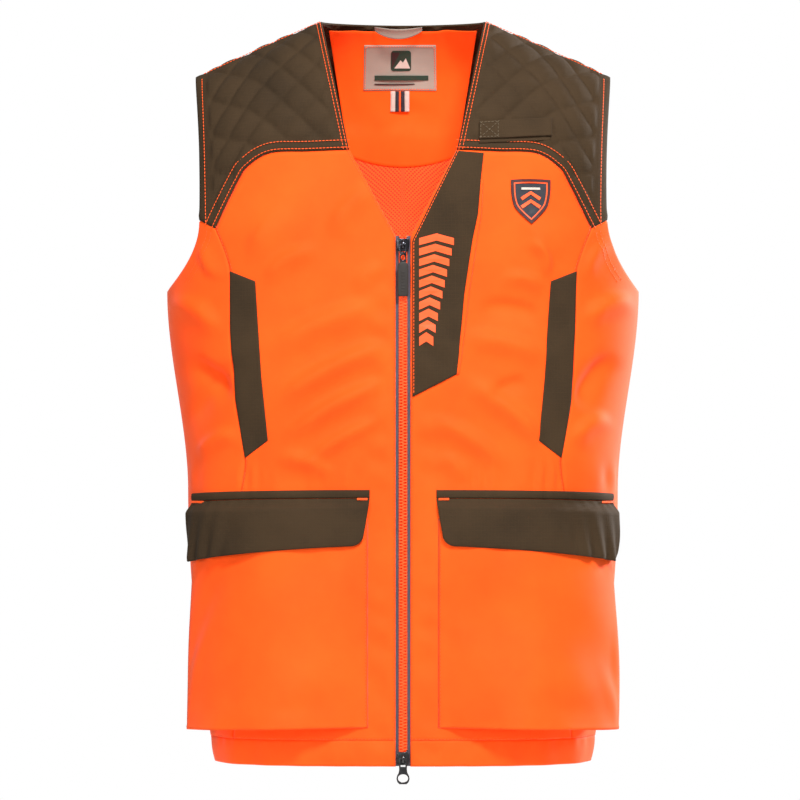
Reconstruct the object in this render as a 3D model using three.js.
// Sleeveless zip-front field vest with quilted shoulder yokes and bellows cargo pockets.
// Millimetres, +Z up, the front faces -Y, +X is the wearer's left.
// Built with the hem centre at x = 0, z = 0, then moved so that the origin is where a hook
// holds the hanger loop.
import * as THREE from 'three';

// ---- driving dimensions: the body of the garment ----
const BODY_LENGTH = 722; // hem to the neck points
const CHEST_HALF_WIDTH = 229.5; // at the armpits
const WAIST_HALF_WIDTH = 209; // at the cargo flaps
const HEM_HALF_WIDTH = 183;
const UPPER_HALF_WIDTH = 213; // of the full shell where the yokes start
const FRONT_DEPTH = 105; // side seam to the zip
const BACK_DEPTH = 98;
const UPPER_DEPTH_LOSS = 12; // how much flatter the shell is at the yokes
const CORNER_FULLNESS = 0.3; // 0 is an ellipse, more is a squarer section
const SHOULDER_DROP = 55; // neck point to shoulder tip
const SHOULDER_HALF_WIDTH = 202.5;
const NECK_HALF_WIDTH = 79;
const SHOULDER_ROUNDING = 108; // height over which the shoulder rounds to the front
const RIDGE_SOFTNESS = 30; // rounds the ridge line at the centre back
const ARMHOLE_DEPTH = 208; // shoulder tip to armpit
const ARMHOLE_CURVE_HEIGHT = 69; // of the scooped lower part
const CHEST_WIDTH_BETWEEN_ARMHOLES = 394;
const V_NECK_DEPTH = 211;
const FRONT_YOKE_DROP = 127; // neck point to the seam at the V edge
const BACK_YOKE_DROP = 165;
const HEM_HEIGHT = 25;

// ---- driving dimensions: cloth and gaps ----
const SHELL = 1.5; // thickness of shell cloth
const TRIM = 1.2; // thickness of sewn-on cloth
const LAYER_GAP = 0.8; // between stacked layers
const SEAM_GAP = 0.5; // from a seam line to each panel's edge
const SWING_GAP = 1.6; // from the side seam to each panel that swings

// ---- driving dimensions: front closure ----
const CHAIN_WIDTH = 7.4;
const TAPE_WIDTH = 11;
const TAPE_SHOWING = 3.4; // between the chain and the panel edge
const CHAIN_DEPTH = 4;
const TAPE_THICKNESS = 1.2;
const TAPE_SETBACK = 0.8; // shell to tape
const CHAIN_GAP = 0.3;
const SLIDER_WIDTH = 12;
const SLIDER_HEIGHT = 13;
const SLIDER_PLATE = 1.5;
const SLIDER_POST = 3.6;
const SLIDER_CLEARANCE = 0.6;
const PULLER_WIDTH = 10.5;
const PULLER_LENGTH = 32;
const BOTTOM_PULL_DROP = 17; // below the hem

// ---- driving dimensions: pockets ----
const POCKET_INNER_X = 33.6;
const POCKET_SIDE_ANGLE = 75; // degrees round the body from the zip
const POCKET_BOTTOM_Z = 37;
const POCKET_TOP_Z = 239;
const POCKET_DEPTH = 31; // at the outer bottom corner
const POCKET_FLARE = 1.5; // how late the pocket deepens towards its bottom
const POCKET_MOUTH_GAPE = 4;
const FLAP_EASE = 3; // room over the pocket's outer edge as the flap lifts
const POCKET_SEAM_DEPTH = 4; // where the pocket lies nearly flat
const FLAP_TOP_INNER_Z = 266;
const FLAP_TOP_OUTER_Z = 262;
const FLAP_BAND_HEIGHT = 8;
const FLAP_BOTTOM_INNER_Z = 210;
const FLAP_BOTTOM_OUTER_Z = 195;
const CHEST_INSERT_BOTTOM_DROP = 369; // neck point to the insert's tip
const BADGE_WIDTH = 38;
const BADGE_HEIGHT = 43;
const TAB_LENGTH = 69;
const TAB_HEIGHT = 17.5;

// ---- driving dimensions: inside the neck ----
const FACING_DROP = 137; // neck line to the lowest point of the facing
const LABEL_WIDTH = 74;
const LABEL_HEIGHT = 47;
const RIBBON_WIDTH = 19;
const LOOP_SPAN = 45;
const LOOP_BAND = 5;
const LOOP_STANDOFF = 12;

// ---- values that follow from them ----
const SHOULDER_TIP_Z = BODY_LENGTH - SHOULDER_DROP;
const ARMPIT_Z = SHOULDER_TIP_Z - ARMHOLE_DEPTH;
const ARMHOLE_X = CHEST_WIDTH_BETWEEN_ARMHOLES / 2;
const ARMHOLE_TURN_Z = ARMPIT_Z + ARMHOLE_CURVE_HEIGHT;
const V_BOTTOM_Z = BODY_LENGTH - V_NECK_DEPTH;
const YOKE_Z = BODY_LENGTH - FRONT_YOKE_DROP;
const BACK_YOKE_Z = BODY_LENGTH - BACK_YOKE_DROP;
const YOKE_NECK_X = NECK_HALF_WIDTH - 27;
const PANEL_EDGE_X = CHAIN_WIDTH / 2 + TAPE_SHOWING;
const SIDE = Math.PI / 2;
const PATCH_OUTSIDE = SHELL + LAYER_GAP;
const TRIM_OUTSIDE = PATCH_OUTSIDE + TRIM;
const PADDING_OUT = -LAYER_GAP - 0.4;
const PADDING_IN = PADDING_OUT - 1.4;
const EDGE_FACING_OUT = -LAYER_GAP - 1.8;
const EDGE_FACING_IN = EDGE_FACING_OUT - TRIM;
const LINING_OUT = PADDING_IN - 1.1;
const LINING_IN = LINING_OUT - 1;
const LABEL_OUT = LINING_IN - 1.2;

const COLOURS = {
  orange: 0xff5a10, facing: 0xf06a2c, mesh: 0xe8601c, olive: 0x453d2e, wadding: 0xd8d4c8,
  tape: 0x2a2c3a, metal: 0x2b2c30, puller: 0x3a3a2c, label: 0x9a948a, badge: 0x22242c,
};

// ---- the shell's shape ----
function smooth(a, b, x) {
  const k = Math.min(Math.max((x - a) / (b - a), 0), 1);
  return k * k * (3 - 2 * k);
}

function mix(a, b, k) {
  return a + (b - a) * k;
}

// Half width of the shell at height z: eased from hem to waist to chest to yoke.
function halfWidth(z) {
  const waist = (FLAP_TOP_INNER_Z + FLAP_TOP_OUTER_Z) / 2;
  const hemToWaist = Math.sin(Math.min(Math.max(z / waist, 0), 1) * Math.PI / 2);
  const low = mix(HEM_HALF_WIDTH, WAIST_HALF_WIDTH, hemToWaist);
  const chest = (CHEST_HALF_WIDTH - WAIST_HALF_WIDTH) * smooth(waist, ARMPIT_Z, z);
  const above = (CHEST_HALF_WIDTH - UPPER_HALF_WIDTH) * smooth(ARMPIT_Z, YOKE_Z, z);
  return low + chest - above;
}

function depth(face, z) {
  const full = face < 0 ? FRONT_DEPTH : BACK_DEPTH;
  return full - UPPER_DEPTH_LOSS * smooth(V_BOTTOM_Z, BODY_LENGTH - 60, z);
}

// Height of the shoulder ridge above x, carried on inside the neck opening.
function ridge(x) {
  const run = (at) => Math.hypot(at, RIDGE_SOFTNESS);
  const slope = SHOULDER_DROP / (run(SHOULDER_HALF_WIDTH) - run(NECK_HALF_WIDTH));
  return BODY_LENGTH - slope * (run(x) - run(NECK_HALF_WIDTH));
}

// A point on the shell. face is -1 on the front and +1 on the back, angle is 0 at the centre
// and 90 degrees at the side seam.
function onShell(face, angle, z) {
  const x = halfWidth(z) * Math.sin(angle);
  const below = Math.min(Math.max((ridge(x) - z) / SHOULDER_ROUNDING, 0), 1);
  const rounding = Math.sqrt(1 - (1 - below) ** 2);
  const full = Math.cos(angle) * (1 + CORNER_FULLNESS * Math.sin(angle) ** 2);
  return new THREE.Vector3(x, face * depth(face, z) * full * rounding, z);
}

function angleAt(x, z) {
  return Math.asin(Math.min(Math.max(x / halfWidth(z), -1), 1));
}

function armholeX(z) {
  if (z < ARMHOLE_TURN_Z) {
    const scoop = Math.min((ARMHOLE_TURN_Z - z) / ARMHOLE_CURVE_HEIGHT, 1) ** 1.8;
    return mix(ARMHOLE_X, CHEST_HALF_WIDTH, scoop);
  }
  const rise = (z - ARMHOLE_TURN_Z) / (SHOULDER_TIP_Z - ARMHOLE_TURN_Z);
  return mix(ARMHOLE_X, SHOULDER_HALF_WIDTH, rise * rise);
}

function neckX(z) {
  const rise = (z - V_BOTTOM_Z) / (YOKE_Z - V_BOTTOM_Z);
  if (rise <= 0) return PANEL_EDGE_X;
  if (rise <= 1) return mix(PANEL_EDGE_X, YOKE_NECK_X, rise);
  return mix(YOKE_NECK_X, NECK_HALF_WIDTH, (z - YOKE_Z) / (BODY_LENGTH - YOKE_Z));
}

// ---- lines on the shell, as (x, z) of the wearer's left half ----
function lineThrough(points) {
  const at = points.map(([x, z]) => new THREE.Vector2(x, z));
  const lengths = at.slice(1).map((p, i) => p.distanceTo(at[i]));
  const total = lengths.reduce((sum, length) => sum + length, 0);
  return (k) => {
    let left = k * total;
    let i = 0;
    while (i < lengths.length - 1 && left > lengths[i]) {
      left -= lengths[i];
      i += 1;
    }
    return at[i].clone().lerp(at[i + 1], left / lengths[i]);
  };
}

function curveThrough(points) {
  const curve = new THREE.SplineCurve(points.map(([x, z]) => new THREE.Vector2(x, z)));
  return (k) => curve.getPointAt(Math.min(Math.max(k, 0), 1));
}

// where the orange front meets the yoke, neck to the armhole strip
const YOKE_CORNER = [ARMHOLE_X - 15, ARMHOLE_TURN_Z - 8.5];
const yokeSeam = curveThrough([
  [YOKE_NECK_X, YOKE_Z],
  [ARMHOLE_X - 106, YOKE_Z - 1.5],
  [ARMHOLE_X - 69, YOKE_Z - 3],
  [ARMHOLE_X - 47, YOKE_Z - 16],
  [ARMHOLE_X - 37, YOKE_Z - 31],
  YOKE_CORNER,
]);
const princessSeam = lineThrough([
  [163, HEM_HEIGHT],
  [158, 240],
  [152, ARMPIT_Z - 162],
  [162, ARMPIT_Z - 104],
  [167, ARMPIT_Z + 19],
  YOKE_CORNER,
]);

// ---- patches: a four-sided piece of shell between lines in (angle, z) ----
function between(bottom, top, left, right) {
  return (u, v) => {
    const sides = left(v).multiplyScalar(1 - u).add(right(v).multiplyScalar(u));
    const ends = bottom(u).multiplyScalar(1 - v).add(top(u).multiplyScalar(v));
    const low = bottom(0).multiplyScalar(1 - u).add(bottom(1).multiplyScalar(u));
    const high = top(0).multiplyScalar(1 - u).add(top(1).multiplyScalar(u));
    return sides.add(ends).sub(low.multiplyScalar(1 - v)).sub(high.multiplyScalar(v));
  };
}

// (x, z) to (angle, z)
function turned(line) {
  return (k) => {
    const at = line(k);
    return new THREE.Vector2(angleAt(at.x, at.y), at.y);
  };
}

function across(fromX, toX, z) {
  return (k) => new THREE.Vector2(angleAt(mix(fromX, toX, k), z), z);
}

function place(face, side, flat) {
  return (u, v) => {
    const at = flat(u, v);
    const point = onShell(face, at.x, at.y);
    point.x *= side;
    return point;
  };
}

// Trims a patch by lengths in mm at u = 0, u = 1, v = 0 and v = 1.
function trimmed(patch, start, end, low, high) {
  return (u, v) => {
    const wide = patch(0, v).distanceTo(patch(1, v));
    const tall = patch(u, 0).distanceTo(patch(u, 1));
    return patch(mix(start / wide, 1 - end / wide, u), mix(low / tall, 1 - high / tall, v));
  };
}

// Zero on the shell, and growing outwards from it.
function shellLevel(x, y, z) {
  const share = x / halfWidth(z);
  const below = Math.min((ridge(x) - z) / SHOULDER_ROUNDING, 1);
  const rounding = 1 - (1 - below) ** 2;
  const full = (1 - share ** 2) * (1 + CORNER_FULLNESS * share ** 2) ** 2;
  return y ** 2 - depth(y < 0 ? -1 : 1, z) ** 2 * full * rounding;
}

function outwards({ x, y, z }) {
  const step = 0.01;
  return new THREE.Vector3(
    shellLevel(x + step, y, z) - shellLevel(x - step, y, z),
    shellLevel(x, y + step, z) - shellLevel(x, y - step, z),
    shellLevel(x, y, z + step) - shellLevel(x, y, z - step),
  ).normalize();
}

function raised(patch, u, v, height) {
  const point = patch(u, v);
  return point.addScaledVector(outwards(point), height);
}

// ---- closed solids ----
function solid(points, faces) {
  const seen = new Map();
  const kept = [];
  const number = points.map((p) => {
    const key = p.toArray().map((c) => Math.round(c * 1e3)).join();
    if (!seen.has(key)) {
      seen.set(key, kept.length);
      kept.push(p);
    }
    return seen.get(key);
  });
  let index = faces
    .map((face) => face.map((i) => number[i]))
    .filter(([a, b, c]) => a !== b && b !== c && c !== a);
  const volume = index.reduce((sum, [a, b, c]) => {
    return sum + kept[a].clone().cross(kept[b]).dot(kept[c]);
  }, 0);
  if (volume < 0) index = index.map(([a, b, c]) => [a, c, b]);
  const geometry = new THREE.BufferGeometry();
  const flat = kept.flatMap((p) => p.toArray());
  geometry.setAttribute('position', new THREE.Float32BufferAttribute(flat, 3));
  geometry.setIndex(index.flat());
  geometry.computeVertexNormals();
  return geometry;
}

// The solid between two grids of points with the same rows and columns.
function sheetBetween(outer, inner) {
  const rows = outer.length;
  const columns = outer[0].length;
  const points = [...outer.flat(), ...inner.flat()];
  const at = (layer, i, j) => layer * rows * columns + i * columns + j;
  const faces = [];
  const quad = (a, b, c, d) => faces.push([a, b, c], [a, c, d]);
  for (let i = 0; i < rows - 1; i += 1) {
    for (let j = 0; j < columns - 1; j += 1) {
      quad(at(0, i, j), at(0, i + 1, j), at(0, i + 1, j + 1), at(0, i, j + 1));
      quad(at(1, i, j), at(1, i, j + 1), at(1, i + 1, j + 1), at(1, i + 1, j));
    }
  }
  for (let i = 0; i < rows - 1; i += 1) {
    const end = columns - 1;
    quad(at(0, i, 0), at(1, i, 0), at(1, i + 1, 0), at(0, i + 1, 0));
    quad(at(0, i, end), at(0, i + 1, end), at(1, i + 1, end), at(1, i, end));
  }
  for (let j = 0; j < columns - 1; j += 1) {
    const end = rows - 1;
    quad(at(0, 0, j), at(0, 0, j + 1), at(1, 0, j + 1), at(1, 0, j));
    quad(at(0, end, j), at(1, end, j), at(1, end, j + 1), at(0, end, j + 1));
  }
  return solid(points, faces);
}

function grid(columns, rows, point) {
  return Array.from({ length: columns + 1 }, (_, i) => {
    return Array.from({ length: rows + 1 }, (__, j) => point(i / columns, j / rows));
  });
}

// Cloth on a patch from one height above it to another. A height is a number or (u, v) => mm.
function cloth(patch, from, to, columns, rows) {
  const height = (h, u, v) => (typeof h === 'function' ? h(u, v) : h);
  const outer = grid(columns, rows, (u, v) => raised(patch, u, v, height(to, u, v)));
  const inner = grid(columns, rows, (u, v) => raised(patch, u, v, height(from, u, v)));
  return sheetBetween(outer, inner);
}

const vest = new THREE.Group();

function add(name, geometry, colour, roughness = 0.85, metalness = 0) {
  const material = new THREE.MeshStandardMaterial({ color: colour, roughness, metalness });
  const mesh = new THREE.Mesh(geometry, material);
  mesh.name = name;
  vest.add(mesh);
  return mesh;
}

// ---- the two fronts ----
const zipEdge = lineThrough([
  [PANEL_EDGE_X, HEM_HEIGHT],
  [PANEL_EDGE_X, V_BOTTOM_Z],
]);
const vEdge = lineThrough([
  [PANEL_EDGE_X, V_BOTTOM_Z],
  [YOKE_NECK_X, YOKE_Z],
]);
const PANEL_ROWS = 15;
const V_SHARE = 3 / PANEL_ROWS; // three rows of the front panel lie above the zip

// the front edge: up beside the zip, then up the V
function frontEdge(k) {
  return k <= 1 - V_SHARE ? zipEdge(k / (1 - V_SHARE)) : vEdge((k - 1 + V_SHARE) / V_SHARE);
}

function sideSeam(fromZ, toZ) {
  return (k) => new THREE.Vector2(SIDE, mix(fromZ, toZ, k));
}

// up the armhole's edge from the armpit, in steps that start small where it turns most
function armholeEdge(topZ) {
  return (k) => {
    const z = mix(ARMPIT_Z, topZ, k ** 2);
    return new THREE.Vector2(angleAt(armholeX(z), z), z);
  };
}

// top of the side panel: a short step out to the armhole, then down round the scoop
const STEP_SHARE = 0.25;
function sidePanelTop(k) {
  const step = turned(lineThrough([YOKE_CORNER, [ARMHOLE_X, ARMHOLE_TURN_Z]]));
  if (k <= STEP_SHARE) return step(k / STEP_SHARE);
  return armholeEdge(ARMHOLE_TURN_Z)((1 - k) / (1 - STEP_SHARE));
}

const frontPanelFlat = between(
  across(PANEL_EDGE_X, 163, HEM_HEIGHT),
  turned(yokeSeam),
  turned(frontEdge),
  turned(princessSeam),
);
const sidePanelFlat = between(
  (k) => new THREE.Vector2(mix(angleAt(163, HEM_HEIGHT), SIDE, k), HEM_HEIGHT),
  sidePanelTop,
  turned(princessSeam),
  sideSeam(HEM_HEIGHT, ARMPIT_Z),
);

// The yoke's columns are straight lines seen from the front, from its seam up to the ridge.
const YOKE_COLUMNS = 12;
const YOKE_BOW = 10; // four times how far the armhole edge bows inwards at mid height
function yokeFlat(face, bottom) {
  return (u, v) => {
    const low = bottom(u);
    const topX = mix(NECK_HALF_WIDTH, SHOULDER_HALF_WIDTH, u);
    const fall = (1 - v) ** 2;
    const x = mix(topX, low.x, fall) - YOKE_BOW * u * fall * (1 - fall);
    const z = mix(ridge(topX), low.y, fall);
    return onShell(face, angleAt(x, z), z);
  };
}

function frontYokeBottom(u) {
  const share = (YOKE_COLUMNS - 1) / YOKE_COLUMNS;
  if (u <= share) return yokeSeam(u / share);
  return lineThrough([YOKE_CORNER, [ARMHOLE_X, ARMHOLE_TURN_Z]])((u - share) * YOKE_COLUMNS);
}

function mirrored(patch, side) {
  return (u, v) => {
    const point = patch(u, v);
    point.x *= side;
    return point;
  };
}

const frontYoke = yokeFlat(-1, frontYokeBottom);

// ---- cargo pockets: open at the top and at the back, deep at the outer bottom corner ----
const POCKET_SIDE = THREE.MathUtils.degToRad(POCKET_SIDE_ANGLE);
function pocketFlat(u, v) {
  const z = mix(POCKET_BOTTOM_Z, POCKET_TOP_Z, v);
  return new THREE.Vector2(mix(angleAt(POCKET_INNER_X, z), POCKET_SIDE, u), z);
}

function pocketHeight(u, v) {
  const bellows = (POCKET_DEPTH - POCKET_SEAM_DEPTH) * smooth(0, 0.45, u) * (1 - v) ** POCKET_FLARE;
  return POCKET_SEAM_DEPTH + bellows + POCKET_MOUTH_GAPE * Math.sin(Math.PI * u) * v;
}

function cargoPocket(side) {
  const columns = 10;
  const rows = 8;
  const patch = place(-1, side, pocketFlat);
  const inside = trimmed(patch, TRIM, TRIM, TRIM, 0);
  const clampIndex = (i, last) => Math.min(Math.max(i - 1, 0), last) / last;
  const skin = (base, lower) => {
    return Array.from({ length: columns + 3 }, (_, i) => {
      return Array.from({ length: rows + 2 }, (__, j) => {
        const u = clampIndex(i, columns);
        const v = clampIndex(j, rows);
        const foot = i === 0 || i === columns + 2 || j === 0;
        return raised(base, u, v, foot ? PATCH_OUTSIDE : pocketHeight(u, v) - lower);
      });
    });
  };
  return sheetBetween(skin(patch, 0), skin(inside, TRIM));
}

// The flap's patch runs from its lower edge (v = 0) to just under the band (v = 1).
function flapTopZ(u) {
  return mix(FLAP_TOP_INNER_Z, FLAP_TOP_OUTER_Z, u);
}

function flapFlat(u, v) {
  const low = mix(FLAP_BOTTOM_INNER_Z, FLAP_BOTTOM_OUTER_Z, Math.max(u, 0) ** 1.4);
  const z = mix(low, flapTopZ(u) - FLAP_BAND_HEIGHT - SEAM_GAP, v);
  return new THREE.Vector2(mix(angleAt(POCKET_INNER_X, z), POCKET_SIDE, u), z);
}

function flapHeight(u, v) {
  const z = flapFlat(u, v).y;
  const up = Math.min((z - POCKET_BOTTOM_Z) / (POCKET_TOP_Z - POCKET_BOTTOM_Z), 1);
  const clear = pocketHeight(u, up) + 2 * LAYER_GAP + FLAP_EASE * smooth(0.5, 1, u);
  return mix(clear, PATCH_OUTSIDE, smooth(0.8, 1, v));
}

function bandFlat(u, v) {
  const z = flapTopZ(u) - FLAP_BAND_HEIGHT * (1 - v);
  return new THREE.Vector2(mix(angleAt(POCKET_INNER_X, z), POCKET_SIDE, u), z);
}

// ---- hand pockets: a slanted welt, and a flat bag behind it ----
const weltInner = lineThrough([
  [129.6, ARMPIT_Z - 145],
  [136, ARMPIT_Z - 84],
  [142, ARMPIT_Z + 8.5],
]);
const weltOuter = lineThrough([
  [152, ARMPIT_Z - 162],
  [162, ARMPIT_Z - 104],
  [166, ARMPIT_Z - 39],
  [167, ARMPIT_Z + 18.5],
]);
function weltFlat(u, v) {
  return turned((k) => weltInner(k).lerp(weltOuter(k), u))(v);
}

function bagFlat(u, v) {
  const z = mix(ARMPIT_Z - 172, ARMPIT_Z + 4, v);
  return new THREE.Vector2(mix(angleAt(78, z), angleAt(176, z), u), z);
}

const LINING_ROWS = 10;
function liningFlat(u, v) {
  const z = mix(HEM_HEIGHT + 12, ARMPIT_Z - 6, v);
  return new THREE.Vector2(mix(angleAt(TAPE_WIDTH + 14, z), SIDE, u), z);
}

const FACING_WIDTH = 22;
function armholeFacing(face, side) {
  const outer = armholeEdge(SHOULDER_TIP_Z - 14);
  const patch = (u, v) => {
    const edge = outer(v);
    const inX = armholeX(edge.y) - FACING_WIDTH * smooth(-0.12, 0.3, v);
    return new THREE.Vector2(mix(angleAt(inX, edge.y), edge.x, u), edge.y);
  };
  const trimmedPatch = trimmed(place(face, side, patch), 0, 1, SWING_GAP, 0);
  return cloth(trimmedPatch, EDGE_FACING_IN, EDGE_FACING_OUT, 2, 14);
}

const SIDES = [
  ['left', 1],
  ['right', -1],
];

for (const [name, side] of SIDES) {
  const panel = trimmed(place(-1, side, frontPanelFlat), 0, SEAM_GAP, SEAM_GAP, SEAM_GAP);
  add(`front_panel_${name}`, cloth(panel, 0, SHELL, YOKE_COLUMNS - 1, PANEL_ROWS), COLOURS.orange);

  const sidePanel = trimmed(place(-1, side, sidePanelFlat), SEAM_GAP, SWING_GAP, SEAM_GAP, 0.3);
  add(`side_panel_${name}`, cloth(sidePanel, 0, SHELL, 8, PANEL_ROWS), COLOURS.orange);

  const yoke = trimmed(mirrored(frontYoke, side), 0, 0, SEAM_GAP, SWING_GAP);
  add(`front_yoke_${name}`, cloth(yoke, 0, SHELL, YOKE_COLUMNS, 8), COLOURS.olive);

  const pad = trimmed(mirrored(frontYoke, side), 6, FACING_WIDTH + 14, 12, SWING_GAP);
  add(`yoke_wadding_${name}`, cloth(pad, PADDING_IN, PADDING_OUT, YOKE_COLUMNS, 6), COLOURS.wadding);

  const hemFlat = (u, v) => {
    const z = mix(0, HEM_HEIGHT, v);
    return new THREE.Vector2(mix(angleAt(PANEL_EDGE_X, z), SIDE, u), z);
  };
  const hem = trimmed(place(-1, side, hemFlat), 0, SWING_GAP, 0, SEAM_GAP);
  add(`front_hem_${name}`, cloth(hem, 0, SHELL, 14, 1), COLOURS.orange);

  const lining = trimmed(place(-1, side, liningFlat), 0, SWING_GAP, 0, 0);
  add(`front_mesh_lining_${name}`, cloth(lining, LINING_IN, LINING_OUT, 12, LINING_ROWS), COLOURS.mesh);

  add(`front_armhole_facing_${name}`, armholeFacing(-1, side), COLOURS.facing);

  const bag = place(-1, side, bagFlat);
  add(`hand_pocket_bag_${name}`, cloth(bag, PADDING_IN, PADDING_OUT, 6, 6), COLOURS.facing);

  const welt = place(-1, side, weltFlat);
  add(`hand_pocket_welt_${name}`, cloth(welt, PATCH_OUTSIDE, TRIM_OUTSIDE, 2, 8), COLOURS.olive);

  add(`cargo_pocket_${name}`, cargoPocket(side), COLOURS.orange);

  const band = trimmed(place(-1, side, bandFlat), -1.5, 0, SEAM_GAP, 0);
  add(`flap_band_${name}`, cloth(band, PATCH_OUTSIDE, TRIM_OUTSIDE, 12, 1), COLOURS.olive);

  const flap = trimmed(place(-1, side, flapFlat), -1.5, 0, 0, 0);
  const top = (u, v) => flapHeight(u, v) + TRIM;
  add(`cargo_flap_${name}`, cloth(flap, flapHeight, top, 12, 6), COLOURS.olive);
}

// ---- chest pieces on the wearer's left ----
const INSERT_TIP_Z = BODY_LENGTH - CHEST_INSERT_BOTTOM_DROP;
const insertInner = lineThrough([
  [PANEL_EDGE_X + 2.6, INSERT_TIP_Z + 3],
  [PANEL_EDGE_X + 2.6, V_BOTTOM_Z - 4],
  [YOKE_NECK_X - 1, YOKE_Z - 3],
]);
const insertOuter = lineThrough([
  [51.8, INSERT_TIP_Z + 25],
  [59, INSERT_TIP_Z + 102],
  [67, INSERT_TIP_Z + 155],
  [72, INSERT_TIP_Z + 179],
  [75, INSERT_TIP_Z + 214],
  [77.6, YOKE_Z - 4],
]);
function insertFlat(u, v) {
  return turned((k) => insertInner(k).lerp(insertOuter(k), u))(v);
}
const insert = place(-1, 1, insertFlat);
add('chest_insert', cloth(insert, PATCH_OUTSIDE, TRIM_OUTSIDE, 3, 14), COLOURS.olive);

const CHEST_WELT_WIDTH = 4.5;
function chestWeltFlat(u, v) {
  const at = insertOuter(mix(0, 0.88, v));
  return turned(() => at.clone().add(new THREE.Vector2(1 + CHEST_WELT_WIDTH * u, 0)))(0);
}
const chestWelt = place(-1, 1, chestWeltFlat);
add('chest_pocket_welt', cloth(chestWelt, PATCH_OUTSIDE, TRIM_OUTSIDE + 0.6, 1, 10), COLOURS.orange);

// The badge is a shield: straight sides, then a point.
const BADGE_X = 122.5;
const BADGE_TOP_Z = YOKE_Z - 30;
function badgeFlat(u, v) {
  const half = (BADGE_WIDTH / 2) * Math.sqrt(1 - (1 - Math.min(v / 0.55, 1)) ** 1.7 * 0.995);
  const z = BADGE_TOP_Z - BADGE_HEIGHT * (1 - v);
  return turned(() => new THREE.Vector2(BADGE_X + half * (2 * u - 1), z))(0);
}
const badge = place(-1, 1, badgeFlat);
add('chest_badge', cloth(badge, PATCH_OUTSIDE, TRIM_OUTSIDE, 2, 8), COLOURS.badge);

const TAB_X = 73;
const TAB_Z = YOKE_Z + 18;
function tabFlat(u, v) {
  const z = TAB_Z + TAB_HEIGHT * (v - 0.5) - 4 + 3 * u;
  return turned(() => new THREE.Vector2(TAB_X + TAB_LENGTH * u, z))(0);
}
const tabPatch = place(-1, 1, tabFlat);
add('tab_base', cloth(tabPatch, PATCH_OUTSIDE, TRIM_OUTSIDE, 4, 2), COLOURS.olive);

// The strap is flat, and stands on its base at the middle.
const strapPatch = place(-1, 1, (u, v) => tabFlat(u, v).add(new THREE.Vector2(0, 4)));
const strapOut = outwards(strapPatch(0.5, 0.5));
const strapMiddle = raised(strapPatch, 0.5, 0.5, TRIM_OUTSIDE + LAYER_GAP + TRIM / 2);
const strapAlong = strapPatch(1, 0.5).sub(strapPatch(0, 0.5)).normalize();
strapAlong.addScaledVector(strapOut, -strapAlong.dot(strapOut)).normalize();
const strapUp = strapOut.clone().cross(strapAlong);
const strapFrame = new THREE.Matrix4().makeBasis(strapAlong, strapOut, strapUp.negate());
const strapBox = new THREE.BoxGeometry(TAB_LENGTH, TRIM, TAB_HEIGHT);
const strap = add('tab_strap', strapBox, COLOURS.olive);
strap.quaternion.setFromRotationMatrix(strapFrame);
strap.position.copy(strapMiddle);

// ---- zip ----
const FRONT_Y = -FRONT_DEPTH;
const TAPE_BACK_Y = FRONT_Y + TAPE_SETBACK + TAPE_THICKNESS;
const CHAIN_BACK_Y = TAPE_BACK_Y;
const CHAIN_FRONT_Y = CHAIN_BACK_Y - CHAIN_DEPTH;
const SLIDER_TOP_Z = V_BOTTOM_Z - 2;
const SLIDER_LOW_Z = SLIDER_TOP_Z - SLIDER_HEIGHT;
const BOTTOM_SLIDER_Z = 1;
const CHAIN_LOW_Z = BOTTOM_SLIDER_Z + SLIDER_HEIGHT + 1;
const CHAIN_SPLIT_X = SLIDER_POST / 2 + SLIDER_CLEARANCE;
const CHAIN_SPLIT_Z = SLIDER_LOW_Z - 1.5;

function box(x0, x1, y0, y1, z0, z1) {
  const geometry = new THREE.BoxGeometry(x1 - x0, y1 - y0, z1 - z0);
  geometry.translate((x0 + x1) / 2, (y0 + y1) / 2, (z0 + z1) / 2);
  return geometry;
}

// An outline in (x, z), extruded along y from back to front.
function plate(outline, holes, frontY, backY) {
  const shape = new THREE.Shape(outline.map(([x, z]) => new THREE.Vector2(x, z)));
  for (const hole of holes) {
    shape.holes.push(new THREE.Path(hole.map(([x, z]) => new THREE.Vector2(x, z))));
  }
  const options = { depth: backY - frontY, bevelEnabled: false, steps: 1 };
  const geometry = new THREE.ExtrudeGeometry(shape, options);
  geometry.rotateX(Math.PI / 2);
  geometry.translate(0, backY, 0);
  return geometry;
}

function rectangle(x0, x1, z0, z1) {
  return [
    [x0, z0],
    [x1, z0],
    [x1, z1],
    [x0, z1],
  ];
}

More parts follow.
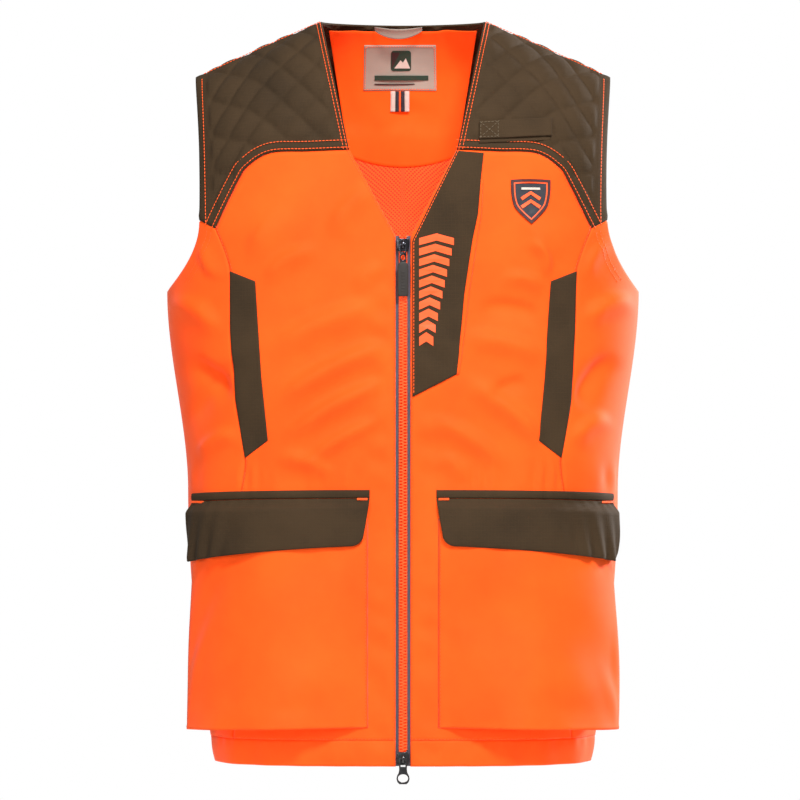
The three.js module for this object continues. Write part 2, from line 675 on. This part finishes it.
for (const [name, side] of SIDES) {
  const tapeFrom = CHAIN_WIDTH / 2 + CHAIN_GAP;
  const xs = [side * tapeFrom, side * (tapeFrom + TAPE_WIDTH)].sort((a, b) => a - b);
  const tape = box(xs[0], xs[1], FRONT_Y + TAPE_SETBACK, TAPE_BACK_Y, 1, V_BOTTOM_Z);
  add(`zip_tape_${name}`, tape, COLOURS.tape);

  const half = CHAIN_WIDTH / 2;
  const inner = CHAIN_GAP / 2;
  const outline = [
    [inner, CHAIN_LOW_Z + 3],
    [CHAIN_SPLIT_X, CHAIN_LOW_Z],
    [half, CHAIN_LOW_Z],
    [half, SLIDER_TOP_Z],
    [CHAIN_SPLIT_X, SLIDER_TOP_Z],
    [CHAIN_SPLIT_X, CHAIN_SPLIT_Z],
    [inner, CHAIN_SPLIT_Z - 3],
  ].map(([x, z]) => [side * x, z]);
  add(`zip_teeth_${name}`, plate(outline, [], CHAIN_FRONT_Y, CHAIN_BACK_Y), COLOURS.orange, 0.5);

  const stopXs = [side * CHAIN_SPLIT_X, side * half].sort((a, b) => a - b);
  const stopFromZ = SLIDER_TOP_Z + CHAIN_GAP;
  const stop = box(stopXs[0], stopXs[1], CHAIN_FRONT_Y, CHAIN_BACK_Y, stopFromZ, stopFromZ + 2);
  add(`top_stop_${name}`, stop, COLOURS.orange, 0.5);

  const pinName = side > 0 ? 'zip_insertion_pin' : 'zip_retaining_pin';
  const pinTop = CHAIN_LOW_Z - CHAIN_GAP;
  const pin = box(stopXs[0], stopXs[1], CHAIN_FRONT_Y, CHAIN_BACK_Y, BOTTOM_SLIDER_Z, pinTop);
  add(pinName, pin, COLOURS.tape, 0.5);
}

// Slider bodies: a front and a back plate joined by a post between the two chains.
const PLATE_BACK_Y = CHAIN_BACK_Y + SLIDER_CLEARANCE + SLIDER_PLATE;
const PLATE_FRONT_Y = CHAIN_FRONT_Y - SLIDER_CLEARANCE - SLIDER_PLATE;
const BRIDGE_OUT = 4.2;
const BRIDGE_HALF = 1.2;
const BRIDGE_LEG = 1.6;
const BRIDGE_HEIGHT = 8;

function slider(lowZ) {
  const w = SLIDER_WIDTH / 2;
  const post = SLIDER_POST / 2;
  const backIn = PLATE_BACK_Y - SLIDER_PLATE;
  const frontIn = PLATE_FRONT_Y + SLIDER_PLATE;
  const section = new THREE.Shape(
    [
      [-w, PLATE_FRONT_Y],
      [w, PLATE_FRONT_Y],
      [w, frontIn],
      [post, frontIn],
      [post, backIn],
      [w, backIn],
      [w, PLATE_BACK_Y],
      [-w, PLATE_BACK_Y],
      [-w, backIn],
      [-post, backIn],
      [-post, frontIn],
      [-w, frontIn],
    ].map(([x, y]) => new THREE.Vector2(x, y)),
  );
  const geometry = new THREE.ExtrudeGeometry(section, { depth: SLIDER_HEIGHT, bevelEnabled: false });
  geometry.translate(0, 0, lowZ);
  return geometry;
}

// The bridge is a flat arch on the slider's front plate, with the pull's bar inside it.
const BRIDGE_BACK_Y = PLATE_FRONT_Y - CHAIN_GAP;
const BRIDGE_FRONT_Y = BRIDGE_BACK_Y - BRIDGE_OUT;
const BAR_Y = BRIDGE_BACK_Y - 1.55;
function bridge(middleZ) {
  const half = BRIDGE_HEIGHT / 2;
  const legs = half - BRIDGE_LEG;
  const inside = BRIDGE_FRONT_Y + 1.2;
  const section = new THREE.Shape(
    [
      [BRIDGE_BACK_Y, -half],
      [BRIDGE_FRONT_Y, -half],
      [BRIDGE_FRONT_Y, half],
      [BRIDGE_BACK_Y, half],
      [BRIDGE_BACK_Y, legs],
      [inside, legs],
      [inside, -legs],
      [BRIDGE_BACK_Y, -legs],
    ].map(([y, z]) => new THREE.Vector2(y, z)),
  );
  const options = { depth: 2 * BRIDGE_HALF, bevelEnabled: false };
  const geometry = new THREE.ExtrudeGeometry(section, options);
  // the section's (y, z) becomes the model's y and z, and the depth becomes x
  const turn = new THREE.Matrix4().set(0, 0, 1, -BRIDGE_HALF, 1, 0, 0, 0, 0, 1, 0, middleZ, 0, 0, 0, 1);
  geometry.applyMatrix4(turn);
  return geometry;
}

const TOP_BRIDGE_Z = SLIDER_LOW_Z + SLIDER_HEIGHT / 2;
const BOTTOM_BRIDGE_Z = BOTTOM_SLIDER_Z + SLIDER_HEIGHT / 2;
add('top_slider', slider(SLIDER_LOW_Z), COLOURS.metal, 0.35, 0.9);
add('top_slider_bridge', bridge(TOP_BRIDGE_Z), COLOURS.metal, 0.35, 0.9);
add('bottom_slider', slider(BOTTOM_SLIDER_Z), COLOURS.metal, 0.35, 0.9);
add('bottom_slider_bridge', bridge(BOTTOM_BRIDGE_Z), COLOURS.metal, 0.35, 0.9);

const PULL_HALF_THICKNESS = 0.7;
const BAR_HALF = 0.9;
const WINDOW_HALF = BRIDGE_HALF + 0.8;
function pull(barZ, lowZ, halfWidthAtEnd, holes) {
  const top = barZ + BAR_HALF;
  const window = rectangle(-WINDOW_HALF, WINDOW_HALF, barZ - BAR_HALF - 6, barZ - BAR_HALF);
  const neck = barZ - BAR_HALF - 8;
  const outline = [
    [-4, top],
    [-4, neck],
    [-halfWidthAtEnd, neck - 2],
    [-halfWidthAtEnd, lowZ],
    [halfWidthAtEnd, lowZ],
    [halfWidthAtEnd, neck - 2],
    [4, neck],
    [4, top],
  ];
  const front = BAR_Y - PULL_HALF_THICKNESS;
  return plate(outline, [window, ...holes], front, BAR_Y + PULL_HALF_THICKNESS);
}

const PULL_LOW_Z = SLIDER_LOW_Z - 11;
add('top_pull', pull(TOP_BRIDGE_Z, PULL_LOW_Z, 3.4, []), COLOURS.metal, 0.35, 0.9);
const pullerTop = PULL_LOW_Z - CHAIN_GAP;
const pullerShape = [
  [-PULLER_WIDTH / 2, pullerTop - 3],
  [-PULLER_WIDTH / 2 + 1.5, pullerTop],
  [PULLER_WIDTH / 2 - 1.5, pullerTop],
  [PULLER_WIDTH / 2, pullerTop - 3],
  [PULLER_WIDTH / 2, pullerTop - PULLER_LENGTH + 2],
  [PULLER_WIDTH / 2 - 2, pullerTop - PULLER_LENGTH],
  [-PULLER_WIDTH / 2 + 2, pullerTop - PULLER_LENGTH],
  [-PULLER_WIDTH / 2, pullerTop - PULLER_LENGTH + 2],
];
add('top_puller', plate(pullerShape, [], BAR_Y - 1.6, BAR_Y + 1.6), COLOURS.puller, 0.6);

const ringHole = rectangle(-5, 5, -14, -7.5);
const bottomPull = pull(BOTTOM_BRIDGE_Z, -BOTTOM_PULL_DROP, 6.3, [ringHole]);
add('bottom_pull', bottomPull, COLOURS.metal, 0.35, 0.9);

// ---- back ----
function backRow(lowZ, highZ) {
  return (u, v) => {
    const z = mix(lowZ, highZ, v);
    const edge = z <= ARMPIT_Z ? SIDE : angleAt(armholeX(z), z);
    return new THREE.Vector2(edge * (2 * u - 1), z);
  };
}

const BACK_ROWS = 17;
const ARMPIT_SHARE = 9 / BACK_ROWS; // of the back panel's rows, up to the armpits
const backPanelFlat = (u, v) => {
  const low = (z) => backRow(z, z)(u, 0);
  if (v <= ARMPIT_SHARE) return low(mix(HEM_HEIGHT, ARMPIT_Z, v / ARMPIT_SHARE));
  return low(mix(ARMPIT_Z, BACK_YOKE_Z, ((v - ARMPIT_SHARE) / (1 - ARMPIT_SHARE)) ** 2));
};
const backPanel = trimmed(place(1, 1, backPanelFlat), SEAM_GAP, SEAM_GAP, SEAM_GAP, SEAM_GAP);
add('back_panel', cloth(backPanel, 0, SHELL, 20, BACK_ROWS), COLOURS.orange);

const backHem = trimmed(place(1, 1, backRow(0, HEM_HEIGHT)), SEAM_GAP, SEAM_GAP, 0, SEAM_GAP);
add('back_hem', cloth(backHem, 0, SHELL, 24, 1), COLOURS.orange);

const backLiningFlat = backRow(HEM_HEIGHT + 12, ARMPIT_Z - 6);
const backLining = trimmed(place(1, 1, backLiningFlat), SEAM_GAP, SEAM_GAP, 0, 0);
add('back_mesh_lining', cloth(backLining, LINING_IN, LINING_OUT, 20, LINING_ROWS), COLOURS.mesh);

// The back yoke goes from armhole to armhole, and its top edge is the ridge, the neckline
// and the other ridge.
const backNeckShare = 0.4;
function backYokeTop(u) {
  const away = Math.abs(2 * u - 1);
  const sign = Math.sign(2 * u - 1);
  if (away < backNeckShare) {
    const x = NECK_HALF_WIDTH * Math.sin((away / backNeckShare) * SIDE);
    return new THREE.Vector2(sign * x, BODY_LENGTH);
  }
  const k = (away - backNeckShare) / (1 - backNeckShare);
  const x = mix(NECK_HALF_WIDTH, SHOULDER_HALF_WIDTH, k);
  return new THREE.Vector2(sign * x, ridge(x));
}

function backYokePoint(u, v, bottomZ) {
  const top = backYokeTop(u);
  const across2 = 2 * u - 1;
  const lowX = armholeX(bottomZ) * across2;
  const fall = (1 - v) ** 2;
  const z = mix(top.y, bottomZ, fall);
  const bow = -YOKE_BOW * across2 * fall * (1 - fall);
  return onShell(1, angleAt(mix(top.x, lowX, fall) + bow, z), z);
}
const backYoke = trimmed((u, v) => backYokePoint(u, v, BACK_YOKE_Z), 0, 0, SEAM_GAP, SEAM_GAP);
add('back_yoke', cloth(backYoke, 0, SHELL, 20, 8), COLOURS.olive);

for (const [name, side] of SIDES) {
  add(`back_armhole_facing_${name}`, armholeFacing(1, side), COLOURS.facing);
}

// ---- inside the back neck ----
const FACING_HALF_TOP = NECK_HALF_WIDTH - 4;
const FACING_HALF_LOW = 54;
function facingFlat(u, v) {
  const k = 2 * u - 1;
  const lowZ = BODY_LENGTH - FACING_DROP + 11 * k * k;
  const z = mix(lowZ, BODY_LENGTH - 1, v);
  const half = mix(FACING_HALF_LOW, FACING_HALF_TOP, v);
  return new THREE.Vector2(angleAt(half * k, z), z);
}
const facing = place(1, 1, facingFlat);
add('back_neck_facing', cloth(facing, LINING_IN, LINING_OUT, 10, 8), COLOURS.facing);

function insidePiece(middleX, halfX, lowZ, highZ, columns, rows) {
  const patch = place(1, 1, (u, v) => {
    const z = mix(lowZ, highZ, v);
    return new THREE.Vector2(angleAt(middleX + halfX * (2 * u - 1), z), z);
  });
  return cloth(patch, LABEL_OUT - 1, LABEL_OUT, columns, rows);
}
const LABEL_X = -3;
const LABEL_TOP_Z = BODY_LENGTH - 14;
const LABEL_LOW_Z = LABEL_TOP_Z - LABEL_HEIGHT;
const label = insidePiece(LABEL_X, LABEL_WIDTH / 2, LABEL_LOW_Z, LABEL_TOP_Z, 6, 4);
add('neck_label', label, COLOURS.label);
const ribbonTop = LABEL_LOW_Z - SEAM_GAP;
const ribbon = insidePiece(LABEL_X, RIBBON_WIDTH / 2, ribbonTop - 21, ribbonTop, 2, 2);
add('ribbon_tab', ribbon, COLOURS.label);

// The hanger loop: a narrow band, sewn at both ends, that stands away from the facing.
const LOOP_X = -4.5;
const LOOP_TOP_Z = BODY_LENGTH - 2;
const LOOP_SAG = 9;
function loopPoint(u, v, thickness) {
  const x = LOOP_X + LOOP_SPAN * (u - 0.5);
  const arch = Math.sin(Math.PI * u);
  const z = LOOP_TOP_Z - LOOP_SAG * arch - LOOP_BAND * (1 - v);
  const wall = onShell(1, angleAt(x, z), z).y + LINING_IN * 1.6 - 2;
  return new THREE.Vector3(x, wall - LOOP_STANDOFF * Math.sqrt(arch) - thickness, z);
}
const loopOuter = grid(12, 1, (u, v) => loopPoint(u, v, 0));
const loopInner = grid(12, 1, (u, v) => loopPoint(u, v, 1));
add('hanger_loop', sheetBetween(loopOuter, loopInner), COLOURS.label);

// ---- the origin: where a hook holds the loop ----
const hook = loopPoint(0.5, 0.5, 0).add(new THREE.Vector3(0, 0.3 * LOOP_STANDOFF, 0));
const part = new THREE.Group();
vest.position.copy(hook).negate();
part.add(vest);

export default part;
